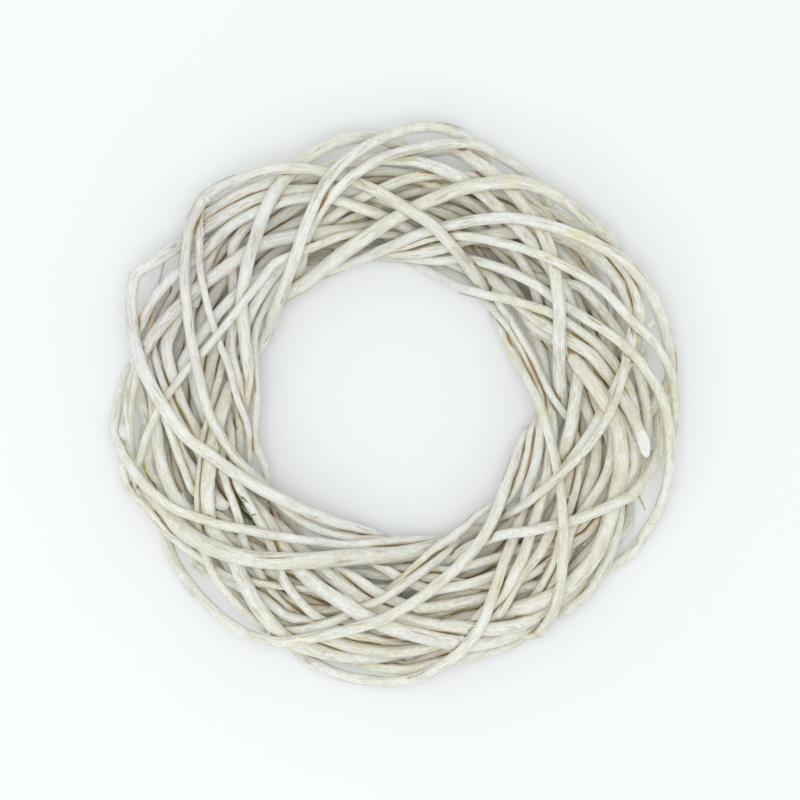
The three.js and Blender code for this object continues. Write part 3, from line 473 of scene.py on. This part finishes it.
def washed_willow(name, cool, cream, yellow, honey, wash, shade, tan, bark, chalk, frost):
    """The willow's material in ten colours, from bark to wash."""
    material = bpy.data.materials.new(name)
    material.use_nodes = True
    tree = material.node_tree
    shader = tree.nodes["Principled BSDF"]
    shader.inputs["Roughness"].default_value = 0.85
    shader.inputs["Specular IOR Level"].default_value = 0.25
    grain = add(tree, "ShaderNodeAttribute", {"attribute_name": "grain"}, {}).outputs["Vector"]
    found = {}
    for label in FIELDS:
        found[label] = add(tree, "ShaderNodeAttribute", {"attribute_name": label}, {}).outputs["Fac"]
    for label, (stretch, scale, detail, rough) in PATTERNS.items():
        drawn = add(tree, "ShaderNodeMapping", {"Scale": (1, 1, stretch)}, {"Vector": grain})
        noise = {"Scale": scale, "Detail": detail, "Roughness": rough}
        found[label] = add(tree, "ShaderNodeTexNoise", noise, {"Vector": drawn.outputs[0]}).outputs["Fac"]
    # The bark under the wash, from cool to yellow.
    drift = {"operation": "MULTIPLY_ADD", 1: 0.6}
    drift = add(tree, "ShaderNodeMath", drift, {0: found["patch"], 2: found["tide"]}).outputs[0]
    base = {"stops": [(0.67, cool), (0.83, cream), (1.0, yellow)]}
    coat = add(tree, "ShaderNodeValToRGB", base, {"Fac": drift}).outputs["Color"]
    # What lies on it, in order. Each layer adds two fields, the second by a share, and covers the coat by an
    # amount that runs from one pair (sum, cover) to the other.
    layers = [
        (yellow, "patch", "tone", 0.35, (0.64, 0.0), (0.92, 0.65)),
        (honey, "tide", "blotch", 0.5, (0.78, 0.0), (0.96, 0.65)),
        (yellow, "warm", "patch", 0.6, (0.6, 0.0), (1.0, 0.75)),
        # Frost over the cold zones. In the zone round the middle it is painted cool light bounced from the
        # table.
        (frost, "cold", "patch", 0.6, (0.4, 0.0), (0.9, 0.85)),
        (frost, "fleck", "tide", 0.5, (0.8, 0.0), (0.93, 0.7)),
        (honey, "ripe", "patch", 0.8, (0.45, 0.0), (0.95, 0.9)),
        (wash, "patch", "blotch", 1.0, (0.92, 0.0), (1.06, 0.7)),
        (shade, "tone", "tide", 1.2, (1.1, 0.0), (1.6, 0.35)),
        (shade, "fibre", "fleck", 0.6, (0.64, 0.6), (0.82, 0.0)),
        (shade, "blotch", "speck", 0.4, (0.58, 0.5), (0.7, 0.0)),
        # Frost again over the cold zones, round the middle as painted bounce light.
        (frost, "cold", "patch", 0.6, (0.5, 0.0), (1.1, 0.5)),
        (chalk, "fibre", "patch", 0.6, (0.84, 0.0), (0.97, 0.6)),
        (chalk, "fleck", "blotch", 0.7, (0.9, 0.0), (1.0, 0.7)),
        (bark, "cold", "fibre", 2.5, (2.05, 0.0), (2.4, 0.45)),
        (bark, "wrinkle", "patch", 0.3, (0.5, 0.45), (0.56, 0.0)),
        (bark, "speck", "fleck", 0.5, (0.52, 0.35), (0.59, 0.0)),
        # Painted shade: the bark turns browner where other rods hide the sky.
        (bark, "deep", "patch", 0.8, (0.78, 0.0), (1.45, 0.42)),
        # Painted shade: tan along a rod's sides where another lies close. Where they touch the bark turns
        # brown, partly bark the brush never reached and partly painted shade.
        (tan, "close", "patch", 0.5, (0.65, 0.0), (1.1, 0.5)),
        (bark, "close", "wrinkle", 0.7, (1.0, 0.0), (1.16, 0.95)),
        (bark, "kink", "crease", 0.8, (1.3, 0.0), (1.5, 0.45)),
        (bark, "bud", "fleck", 0.3, (0.65, 0.0), (1.0, 0.4)),
        (bark, "pit", "speck", 1.4, (1.2, 0.0), (1.6, 0.6)),
        (chalk, "drop", "fleck", 1.0, (0.85, 0.0), (1.2, 0.85)),
    ]
    for colour, first, second, share, (low, least), (high, most) in layers:
        both = {"operation": "MULTIPLY_ADD", 1: share}
        both = add(tree, "ShaderNodeMath", both, {0: found[second], 2: found[first]})
        amount = add(tree, "ShaderNodeMapRange", {1: low, 2: high, 3: least, 4: most}, {0: both.outputs[0]})
        layer = {"data_type": "RGBA", 7: linear(colour)}
        coat = add(tree, "ShaderNodeMix", layer, {0: amount.outputs[0], 6: coat}).outputs[2]
    # A cut end: bare pale wood with chalk rubbed into it unevenly.
    rubbed = {"stops": [(0.3, shade), (0.42, wash), (0.55, chalk)]}
    face = add(tree, "ShaderNodeValToRGB", rubbed, {"Fac": found["fleck"]}).outputs["Color"]
    ends = add(tree, "ShaderNodeMix", {"data_type": "RGBA"}, {0: found["cut"], 6: coat, 7: face})
    tree.links.new(ends.outputs[2], shader.inputs["Base Color"])
    creased = add(tree, "ShaderNodeMath", {"operation": "MULTIPLY"}, {0: found["crease"], 1: found["kink"]})
    height = creased.outputs[0]
    for label, share in (("fleck", 0.3), ("speck", 0.15), ("fibre", 0.5), ("wrinkle", 0.8)):
        more = {"operation": "MULTIPLY_ADD", 1: share}
        height = add(tree, "ShaderNodeMath", more, {0: found[label], 2: height}).outputs[0]
    bump = add(tree, "ShaderNodeBump", {"Strength": 0.8, "Distance": 0.8 * MM}, {"Height": height})
    tree.links.new(bump.outputs["Normal"], shader.inputs["Normal"])
    return material


core_willow = washed_willow(
    "core_bark", "#dfe1d8", "#e2e2cf", "#dad2ab", "#e1d597", "#e7e9e2",
    "#c5bb9a", "#d3bd84", "#83683c", "#eff0ea", "#e5e8e7")
inward_willow = washed_willow(
    "inward_wash", "#e4e6e0", "#e8e9d9", "#e5deb9", "#e8dd9e", "#eef0ea",
    "#ccc6ac", "#d8c58c", "#8e7244", "#f4f5f0", "#e9ecec")
outward_willow = washed_willow(
    "outward_wash", "#e2e4df", "#e6e7d8", "#e4dcb7", "#e8dd9e", "#eff1eb",
    "#cbc5ab", "#d8c58c", "#8e7244", "#f4f5f0", "#e9ecec")

# Where a rod's cut end shows: its place on the ring, how steep the cut is, which way it faces round the rod
# (90 is up), how much chalk it holds and how round it is worn.
CUTS = {
    "inward_rod_13": [(351, 132.5, 66, 68, 1.0, 0.04)],
    "inward_rod_26": [(210, 107, 35, 120, 0.6, 0.2)],
    "outward_rod_02": [(11.5, 124.5, 15, 0, 0.6, 0.04)],
}
# One rod's tail dips beside the outer rod, past its solid: the places in millimetres and the radius.
TAILS = {
    "outward_rod_05": [
        (-141.0, -8.4, 28.2, 2.95), (-141.1, -14.8, 25.8, 2.9), (-141.1, -19.6, 23.4, 2.8),
        (-140.3, -24.3, 19.6, 2.7), (-139.3, -28.3, 15.0, 2.5),
    ],
}

for node in sorted(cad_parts):
    family, _, number = node.partition("_rod_")
    seed = int(number) + {"core": 100, "inward": 200, "outward": 300}[family]
    material = {"core": core_willow, "inward": inward_willow, "outward": outward_willow}[family]
    others = surfaces(other for other in solids if other != node)
    name = f"{family}_willow_{number}"
    middles, radii = solid_line(node)
    if node in TAILS:
        tail = np.array(TAILS[node]) * MM
        middles, radii = np.vstack([middles[:-1], tail[:, :3]]), np.append(radii[:-1], tail[:, 3])
    rod = wind_rod(name, middles, radii, others, seed, material, CUTS.get(node, ()))
    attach(rod, "root")
    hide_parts(node)

# The bark's shreds.
# Where rods were dragged past each other the bark tore, and thin strips of it still lie along the rods, held
# at one end and lifting at the other. The torn side is browner than the washed one, and some missed the wash.
torn_bark = washed_willow(
    "torn_bark", "#dad6c4", "#d4c9a8", "#cab485", "#d4be80", "#e4e2d2",
    "#ae9d7e", "#bea374", "#7b6442", "#eaeadf", "#dddbd3")
bare_bark = washed_willow(
    "bare_bark", "#b5a68a", "#ae9d7e", "#a08a63", "#a08a63", "#c4b89e",
    "#8d7a58", "#97825c", "#6a5538", "#d2cab8", "#b5a68a")
STRIP_SIDES = 8
BLUNT_END, SHARP_END = 9, 3    # a strip is at its full width from a ninth of its length to the last third
FULLNESS = 0.8                 # the lower, the blunter both ends
ARCH = 0.8                     # its edges lie this many thicknesses below its middle
STRIP_SHIFT_ACROSS, STRIP_SHIFT_UP = 3.1, 5.3


def sliver(name, path, widths, thick, lean, seed, material):
    """A thin arched strip along a path, blunt at its start, pointed at its tip and turned over by a lean."""
    line, wide, steps = smooth_line(np.array(path), np.array(widths))
    _, side, up = frames_along(line)
    flat, proud = side * math.cos(lean) + up * math.sin(lean), up * math.cos(lean) - side * math.sin(lean)
    share = np.linspace(0, 1, len(line))
    taper = np.clip(np.minimum(share * BLUNT_END, (1 - share) * SHARP_END), 0, 1) ** FULLNESS
    turn = np.linspace(0, 2 * math.pi, STRIP_SIDES + 1)
    turn[-1] = 0
    across = wide[:, None] * taper[:, None] * np.cos(turn)
    height = thick * taper[:, None] * (np.sin(turn) - ARCH * np.cos(turn) ** 2)
    rings = line[:, None] + flat[:, None] * across[..., None] + proud[:, None] * height[..., None]
    rings[0], rings[-1] = line[0], line[-1]
    grain = np.stack([
        across / MM + seed * STRIP_SHIFT_ACROSS,
        height / MM + seed * STRIP_SHIFT_UP,
        np.broadcast_to(steps[:, None], across.shape) / MM,
    ], axis=-1)
    tone = np.full((1, 1), np.random.default_rng(seed).uniform(0, 1))
    return roll_up(name, rings, {"grain": grain, "tone": tone}, material)


def join(name, parts):
    """Makes one piece of several."""
    deselect()
    for part in parts:
        part.select_set(True)
    bpy.context.view_layer.objects.active = parts[0]
    bpy.ops.object.join()
    parts[0].name = name
    return parts[0]


SHREDS_TO_A_ROD = (8, 18)
SHRED_LENGTH = (6 * MM, 24 * MM)
SHRED_WIDTH = (0.15 * MM, 0.95 * MM)
NARROW = 1.6                   # the higher, the more of them are narrow
SHRED_THICK = 0.18 * MM
SHRED_POINTS = 6
OFF_TOP = (20, 85)             # degrees from the top of the rod, to either side
DRIFT = 0.35                   # how far a shred strays round the rod, in radians
LIFT = (0.2, 1.2)              # how far its free end stands off, in millimetres
BARE_WIDTH = 0.45 * MM         # the narrower ones missed the wash
draw = np.random.default_rng(41)
for family in ("core", "inward", "outward"):
    shreds = []
    for name, (line, side, up, thick) in sorted(lines.items()):
        if not name.startswith(family):
            continue
        for _ in range(draw.integers(*SHREDS_TO_A_ROD)):
            span = int(draw.uniform(*SHRED_LENGTH) / RING_STEP)
            start = int(draw.integers(2, max(3, len(line) - span - 2)))
            places = np.linspace(start, min(start + span, len(line) - 2), SHRED_POINTS).astype(int)
            bearing = math.radians(90 + draw.choice((-1, 1)) * draw.uniform(*OFF_TOP))
            drift = draw.uniform(-DRIFT, DRIFT)
            lift = draw.uniform(*LIFT) * MM
            path = []
            for k, place in enumerate(places):
                share = k / (SHRED_POINTS - 1)
                angle = bearing + drift * share
                outward = side[place] * math.cos(angle) + up[place] * math.sin(angle)
                path.append(line[place] + outward * (thick[place] + SHRED_THICK / 2 + lift * share ** 2))
            if draw.uniform() < 0.5:
                path.reverse()
                bearing = math.pi - bearing
            width = SHRED_WIDTH[0] + (SHRED_WIDTH[1] - SHRED_WIDTH[0]) * draw.uniform() ** NARROW
            bare = bare_bark if width < BARE_WIDTH else inward_willow
            material = (torn_bark, torn_bark, bare, bare, inward_willow)[draw.integers(0, 5)]
            widths, lean = [width] * SHRED_POINTS, bearing - math.pi / 2
            shreds.append(sliver(f"{family}_shred", path, widths, SHRED_THICK, lean, len(shreds), material))
    torn = join(f"{family}_shreds", shreds)
    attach(torn, "root")

# The broken end and the cut twig.
# One rod snapped under the rod that crosses it, and its splinters come out on the far side; beside them the
# stub of a thin twig, cut off square, is caught under the outer rod. Places and half widths in millimetres.
SPLINTER_THICK = 0.45 * MM
splinters = []
for number, (path, widths) in enumerate([
    ([(122.6, 25.6, 40.0), (123.7, 30.1, 39.3), (124.2, 36.0, 38.2), (124.2, 41.4, 38.0)],
     (2.1, 2.5, 1.9, 0.9)),
    ([(124.4, 26.2, 39.9), (125.7, 31.6, 39.0), (126.9, 35.6, 38.2), (127.9, 37.6, 38.0)],
     (1.6, 1.9, 1.3, 0.6)),
    ([(127.4, 23.6, 39.6), (130.2, 27.0, 39.2), (133.6, 31.7, 38.2)], (0.5, 0.5, 0.4)),
    ([(126.0, 24.2, 39.4), (128.6, 29.1, 38.6), (130.0, 33.0, 37.4)], (0.6, 0.5, 0.3)),
    ([(120.6, 22.4, 47.0), (120.3, 25.6, 47.2), (121.2, 28.4, 46.4)], (0.7, 0.5, 0.3)),
]):
    path, widths = np.array(path) * MM, np.array(widths) * MM
    splinters.append(sliver(
        "splinter", path, widths, SPLINTER_THICK, lean=0.15, seed=60 + number, material=outward_willow))
broken = join("broken_end", splinters)
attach(broken, "root")
stub_line = np.array([
    (130.9, 35.2, 34.7), (132.6, 37.7, 34.8), (134.4, 41.0, 35.0), (136.9, 44.4, 35.4)]) * MM
stub_radii = np.full(4, 1.5 * MM)
stub = wind_rod("cut_twig", stub_line, stub_radii, everything, seed=77, material=inward_willow)
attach(stub, "root")

# The healed knot.
# Near its tail one rod has the stump of a side shoot, which healed over into a blunt collar and took up the
# white wash thickly.
knot_line = np.array([
    (-143.3, -11.2, 27.4), (-143.6, -13.5, 26.8), (-143.4, -15.8, 25.9), (-142.8, -18.2, 24.9)]) * MM
knot_radii = np.array([2.5, 2.95, 2.95, 2.5]) * MM
knot_cut = (186, 144, 10, 90, 0.1, 0.4)
others = surfaces(node for node in solids if node != "outward_rod_05")
knot = wind_rod(
    "healed_knot", knot_line, knot_radii, others, seed=79, material=outward_willow, cuts=[knot_cut])


def fill(piece, label, value):
    """Gives every point of a piece the same value of one field."""
    piece.data.attributes[label].data.foreach_set("value", [value] * len(piece.data.vertices))


fill(knot, "cold", 0.85)
fill(knot, "close", 0.3)
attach(knot, "root")

# The brown strip.
# One long thin strip in the bare bark's brown lies across a gap, held where it touches a rod at each end.
strip_line = np.array([
    (-77.0, -45.0, 21.2), (-74.2, -47.5, 20.6), (-70.4, -50.6, 19.9),
    (-67.5, -53.1, 18.9), (-63.2, -56.7, 17.8), (-58.6, -60.3, 16.9)]) * MM
strip_widths = np.array([0.5, 0.6, 0.7, 0.5, 0.45, 0.4]) * MM
strip = sliver("brown_strip", strip_line, strip_widths, 0.3 * MM, lean=0.3, seed=91, material=bare_bark)
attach(strip, "root")

# The brown twig.
# A thin side twig that missed the wash pokes out under an outer rod, thinner and paler to its tip.
twig_line = np.array([
    (126.6, -43.6, 40.6), (128.4, -47.2, 40.4), (130.4, -51.2, 39.6), (132.6, -56.1, 38.4)]) * MM
twig_radii = np.array([0.9, 0.85, 0.66, 0.45]) * MM
twig = wind_rod("brown_twig", twig_line, twig_radii, everything, seed=78, material=bare_bark)
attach(twig, "root")

# The moss.
# Two wisps of green moss are left on the rods: a dark one deep in a gap, whose last strands curl out over the
# next rod, and a small bright one. The dark wisp's green is painted darker, partly as the shade of its gap,
# and its curling strands lighter where they come out into the light. A strand is some 0.4 mm thick.
moss = bpy.data.materials.new("dry_moss")
moss.use_nodes = True
tree = moss.node_tree
grain = add(tree, "ShaderNodeAttribute", {"attribute_name": "grain"}, {}).outputs["Vector"]
leafy = add(tree, "ShaderNodeTexNoise", {"Scale": 0.9, "Detail": 3}, {"Vector": grain}).outputs["Fac"]
bright = add(tree, "ShaderNodeAttribute", {"attribute_name": "tone"}, {}).outputs["Fac"]
mixed = add(tree, "ShaderNodeMath", {"operation": "MULTIPLY_ADD", 1: 0.6}, {0: leafy, 2: bright}).outputs[0]
greens = {"stops": [(0.25, "#474727"), (0.6, "#6c7433"), (0.95, "#c6cc3a")]}
green = add(tree, "ShaderNodeValToRGB", greens, {"Fac": mixed}).outputs["Color"]
tree.links.new(green, tree.nodes["Principled BSDF"].inputs["Base Color"])
tree.nodes["Principled BSDF"].inputs["Roughness"].default_value = 0.8
# Each wisp: the path it lies along, its number of strands, how bright they are (for the dark wisp partly
# painted shade), how far they spread and their length in millimetres.
WISPS = {
    "dark_moss": (
        [(-83.6, -47.9), (-81.9, -50.2), (-80.9, -54.0), (-79.6, -57.4), (-77.0, -60.4)], 70, 0.05, 1.0, 4.0),
    "bright_moss": ([(-133.9, -31.6), (-133.3, -33.4), (-132.2, -34.9), (-131.1, -36.2)], 34, 0.5, 0.4, 2.4),
}
CURL = [(-77.4, -60.0, 33.0), (-76.2, -59.4, 38.2), (-74.4, -58.3, 39.6), (-72.6, -58.9, 39.4)]
STRAND_POINTS = 4
STRAND_LENGTHS = (0.6, 1.4)    # times the length of its wisp's strands
STRAY, SWERVE = 0.7, 0.9       # off the path and off its way, in millimetres
OFF_ROD, TANGLE = 0.3, 1.4     # off the rod below, and more where strands lie on each other
CLIMB = 3 * MM                 # a strand climbs no further than this
STRAND_WIDTH, STRAND_THICK = 0.22 * MM, 0.2 * MM
BRIGHTER = 0.35                # a strand may be this much brighter than its wisp
# The curling strands are painted lighter than their wisp, out of the gap's painted shade.
CURL_WIDTH, CURL_THICK, CURL_BRIGHT = 0.32 * MM, 0.25 * MM, 0.35
CURL_SHIFTS = (0.0, 0.35)      # the two last strands curl side by side
for name, (path, count, bright_share, spread, length) in WISPS.items():
    path, strands = np.array(path) * MM, []
    for number in range(count):
        at = draw.uniform(0, len(path) - 1.4)  # no strand starts on the last bit of the path
        start, way = path[int(at)], path[int(at) + 1] - path[int(at)]
        base = start + way * (at % 1) + draw.normal(0, STRAY * spread * MM, 2)
        way = unit(way) * length * draw.uniform(*STRAND_LENGTHS) * MM
        way = way + draw.normal(0, SWERVE * MM, 2) * spread
        points = []
        for k in range(STRAND_POINTS):
            x, y = base + way * k / (STRAND_POINTS - 1)
            height = min(top_at(x, y), top_at(*base) + CLIMB)
            points.append((x, y, height + (OFF_ROD + draw.uniform(0, TANGLE) * spread) * MM))
        widths = [STRAND_WIDTH] * STRAND_POINTS
        strand = sliver("strand", points, widths, STRAND_THICK, lean=0, seed=number, material=moss)
        fill(strand, "tone", bright_share + draw.uniform(0, BRIGHTER))
        strands.append(strand)
    if name == "dark_moss":
        for shift in CURL_SHIFTS:
            curl = np.array(CURL) * MM + shift * MM
            widths = [CURL_WIDTH] * len(CURL)
            strand = sliver("strand", curl, widths, CURL_THICK, lean=0, seed=90, material=moss)
            fill(strand, "tone", CURL_BRIGHT)
            strands.append(strand)
    wisp = join(name, strands)
    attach(wisp, "root")

# The table.
# A plain matt white table top, far wider than what the picture shows.
bpy.ops.mesh.primitive_plane_add(size=6)
floor = bpy.context.object
floor.name = "floor"
paper = bpy.data.materials.new("white_table")
paper.use_nodes = True
paper.node_tree.nodes["Principled BSDF"].inputs["Base Color"].default_value = linear("#f5f8fa")
paper.node_tree.nodes["Principled BSDF"].inputs["Roughness"].default_value = 0.9
floor.data.materials.append(paper)

# The light.
# Soft daylight all round, a large lamp high above and a weak window at the lower left of the picture.
world = bpy.data.worlds.new("daylight")
world.use_nodes = True
world.node_tree.nodes["Background"].inputs["Color"].default_value = linear("#fafdfd")
world.node_tree.nodes["Background"].inputs["Strength"].default_value = 0.67
bpy.context.scene.world = world
bpy.ops.object.light_add(type="AREA", location=(-0.6, -0.6, 1.1))
lamp = bpy.context.object
lamp.name = "window"
lamp.data.shape = "SQUARE"
lamp.data.size = 0.8
lamp.data.energy = 1.8
lamp.rotation_euler = Vector((0.6, 0.6, -1.1)).to_track_quat("-Z", "Y").to_euler()

bpy.ops.object.light_add(type="AREA", location=(-0.1, -0.3, 5.0))
ceiling = bpy.context.object
ceiling.name = "ceiling"
ceiling.data.shape = "SQUARE"
ceiling.data.size = 2.2
ceiling.data.energy = 81

# The camera.
# It looks straight down from far above. The picture is 424 mm wide on the level of the upper rods.
SENSOR, DISTANCE, PICTURE_WIDTH = 36, 4, 0.424
bpy.ops.object.camera_add(location=(0.0028, 0.0022, 4.035), rotation=(0, 0, 0))
camera = bpy.context.object
camera.data.sensor_width = SENSOR
camera.data.lens = SENSOR * DISTANCE / PICTURE_WIDTH
camera.data.clip_end = 50
bpy.context.scene.camera = camera
bpy.context.scene.view_settings.view_transform = "Standard"
bpy.context.scene.view_settings.gamma = 1.3
